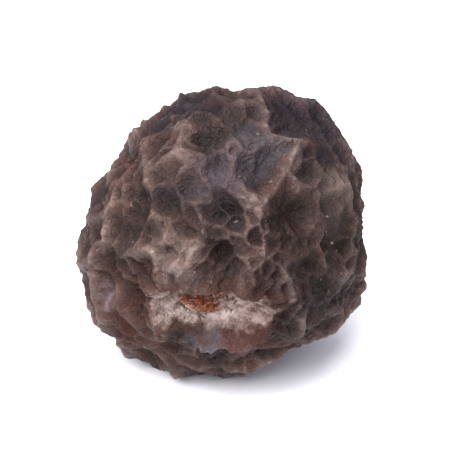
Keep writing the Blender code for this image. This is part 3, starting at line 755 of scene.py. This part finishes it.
crumbs, sockets, asked = sown_tree("husk crumbs", CRUMB_SIZES)
per_square_metre = node(crumbs, MATHS, (asked["Crumbs per Square Millimetre"], MM ** -2),
                        operation="MULTIPLY")
where = node(crumbs, "GeometryNodeInputPosition")
where = node(crumbs, VECTORS, {0: where, "Scale": 1 / MM}, operation="SCALE")
clear_low = Vector(cad_box[0]) / MM + Vector((CLEAR_OF_BOX, CLEAR_OF_BOX, CLEAR_OF_TABLE))
clear_high = Vector(cad_box[1]) / MM - Vector((CLEAR_OF_BOX, CLEAR_OF_BOX, CLEAR_OF_BOX))
inside_box = node(crumbs, VECTORS, (where, clear_low), operation="MAXIMUM")
inside_box = node(crumbs, VECTORS, (inside_box, clear_high), operation="MINIMUM")
inside_box = node(crumbs, "FunctionNodeCompare", {4: where, 5: inside_box, "Epsilon": 0.0001},
                  data_type="VECTOR", operation="EQUAL")
off_scar = between(crumbs, "scar", *CRUMB_GROUND)
off_scar = node(crumbs, "FunctionNodeBooleanMath", (inside_box, off_scar), operation="AND")
lodged = node(crumbs, "GeometryNodeInputNamedAttribute", {"Name": "fold"}, "Attribute", data_type="FLOAT")
lodged = node(crumbs, RANGE, (lodged, 0.1, 0.7, 1.0, CRUMBS_ON_FOLDS))
density = node(crumbs, MATHS, (per_square_metre, lodged), operation="MULTIPLY")
spots = node(crumbs, ON_SKIN, {"Mesh": asked["Berry"], "Selection": off_scar, "Density": density,
                               "Seed": asked["Seed"]})
radius = node(crumbs, MATHS, (asked["Crumb Radius"], MM), operation="MULTIPLY")
crumb = node(crumbs, "GeometryNodeMeshIcoSphere", {"Radius": radius, "Subdivisions": 2})
tumbled = node(crumbs, "FunctionNodeRandomValue", {0: (0.0, 0.0, 0.0), 1: [FULL_TURN] * 3, "Seed": 3},
               data_type="FLOAT_VECTOR")
uneven = node(crumbs, "FunctionNodeRandomValue", {0: CRUMB_LEAST, 1: CRUMB_MOST, "Seed": 4},
              data_type="FLOAT_VECTOR")
heap = node(crumbs, "GeometryNodeInstanceOnPoints",
            {"Points": spots, "Instance": crumb, "Rotation": tumbled, "Scale": uneven})
heap = node(crumbs, "GeometryNodeRealizeInstances", (heap,))
chipped = node(crumbs, "ShaderNodeTexNoise", {"Scale": 26.0 / MM, "Detail": 1.0}, "Color")
chipped = node(crumbs, VECTORS, (chipped, (0.5, 0.5, 0.5)), operation="SUBTRACT")
chipped = node(crumbs, VECTORS, {0: chipped, "Scale": CRUMB_CHIP * MM}, operation="SCALE")
heap = node(crumbs, "GeometryNodeSetPosition", {"Geometry": heap, "Offset": chipped})
crumb_skin = bpy.data.materials.new("husk_crumb")
heap = node(crumbs, "GeometryNodeSetMaterial", {"Geometry": heap, "Material": crumb_skin})
node(crumbs, "NodeGroupOutput", (heap,))
sown_piece("husk_crumbs", crumbs, sockets, CRUMB_SIZES, crumb_skin)

# Husk crumb: broken dried skin, whose fresh faces are paler and duller than the skin that it lies on. Its
# tone changes over 0.4 mm, so that one crumb is paler than the next.
crumb_skin.use_nodes = True
husk = crumb_skin.node_tree
tone = node(husk, "ShaderNodeTexNoise",
            {"Vector": in_millimetres(husk), "Scale": 2.6, "Detail": 4.0, "Roughness": 0.75})
HUSK_STOPS = (0.36, "241914"), (0.50, "44352f"), (0.60, "5b4b42"), (0.72, "716156")
tone = node(husk, "ShaderNodeValToRGB", (tone,), "Color", HUSK_STOPS)
husk_shader = husk.nodes["Principled BSDF"].inputs
husk.links.new(tone, husk_shader["Base Color"])
husk_shader["Roughness"].default_value = 0.8
husk_shader["Specular IOR Level"].default_value = 0.3

# The table top.
# The floor is a plain white table top of smooth laminate, much larger than the view. It isn't part of the
# peppercorn, which lies loose on it.

FLOOR_SIZE = 0.6                   # in metres
floor_mesh = bpy.data.meshes.new("table_top")
floor_corners = [(x * FLOOR_SIZE / 2, y * FLOOR_SIZE / 2, 0) for x, y in ((-1, -1), (1, -1), (1, 1), (-1, 1))]
floor_mesh.from_pydata(floor_corners, [], [(0, 1, 2, 3)])
floor = bpy.data.objects.new("table_top", floor_mesh)
bpy.context.collection.objects.link(floor)
floor_material = bpy.data.materials.new("white_laminate")
floor_material.use_nodes = True
floor_material.node_tree.nodes["Principled BSDF"].inputs["Base Color"].default_value = linear("fcfcfd")
floor_mesh.materials.append(floor_material)

# The studio.
# The light comes from all round, as in a white tent, and most from above and a little in front. One
# square soft box, high up to the left and in front, adds the short soft shadow to the right.

SKY_DIM, SKY_BRIGHT = 0.30, 1.36
SOFT_LIGHT_FROM = Vector((-0.10, -0.42, 0.90)).normalized()
LIGHT_PLACE = Vector((-0.011, -0.015, 0.037))   # in metres, as its size is
LIGHT_SIZE, LIGHT_POWER = 0.046, 0.052

bpy.context.scene.view_settings.view_transform = "Standard"
world = bpy.data.worlds.new("studio")
bpy.context.scene.world = world
world.use_nodes = True
sky = world.node_tree
sky_place = node(sky, "ShaderNodeTexCoord", (), "Generated")
towards_light = node(sky, VECTORS, (sky_place, SOFT_LIGHT_FROM), "Value", operation="DOT_PRODUCT")
strength = node(sky, RANGE, (towards_light, -0.35, 0.9, SKY_DIM, SKY_BRIGHT),
                interpolation_type="SMOOTHSTEP")
sky.nodes["Background"].inputs["Color"].default_value = linear("ededfd")
sky.links.new(strength, sky.nodes["Background"].inputs["Strength"])
light = bpy.data.lights.new("overhead_light", "AREA")
light.size = LIGHT_SIZE
light.energy = LIGHT_POWER
lamp = bpy.data.objects.new("overhead_light", light)
bpy.context.collection.objects.link(lamp)
lamp.location = LIGHT_PLACE
lamp.rotation_euler = (-LIGHT_PLACE).to_track_quat("-Z", "Y").to_euler()

# The camera.
# It looks down at the berry as steeply as the photo does, through a long lens, and so near that the
# berry fills most of the frame.

CAMERA_RISE = 26.5                 # in degrees above the table
CAMERA_DISTANCE = 0.029            # in metres from the berry's middle
BERRY_MIDDLE = Vector((0, 0, 0.0025))
LENS = 130                         # focal length in millimetres

camera_data = bpy.data.cameras.new("camera")
camera_data.lens = LENS
camera_data.clip_start = MM
camera = bpy.data.objects.new("camera", camera_data)
bpy.context.collection.objects.link(camera)
back = direction(-90, CAMERA_RISE)
camera.location = BERRY_MIDDLE + back * CAMERA_DISTANCE
camera.rotation_euler = back.to_track_quat("Z", "Y").to_euler()
bpy.context.scene.camera = camera
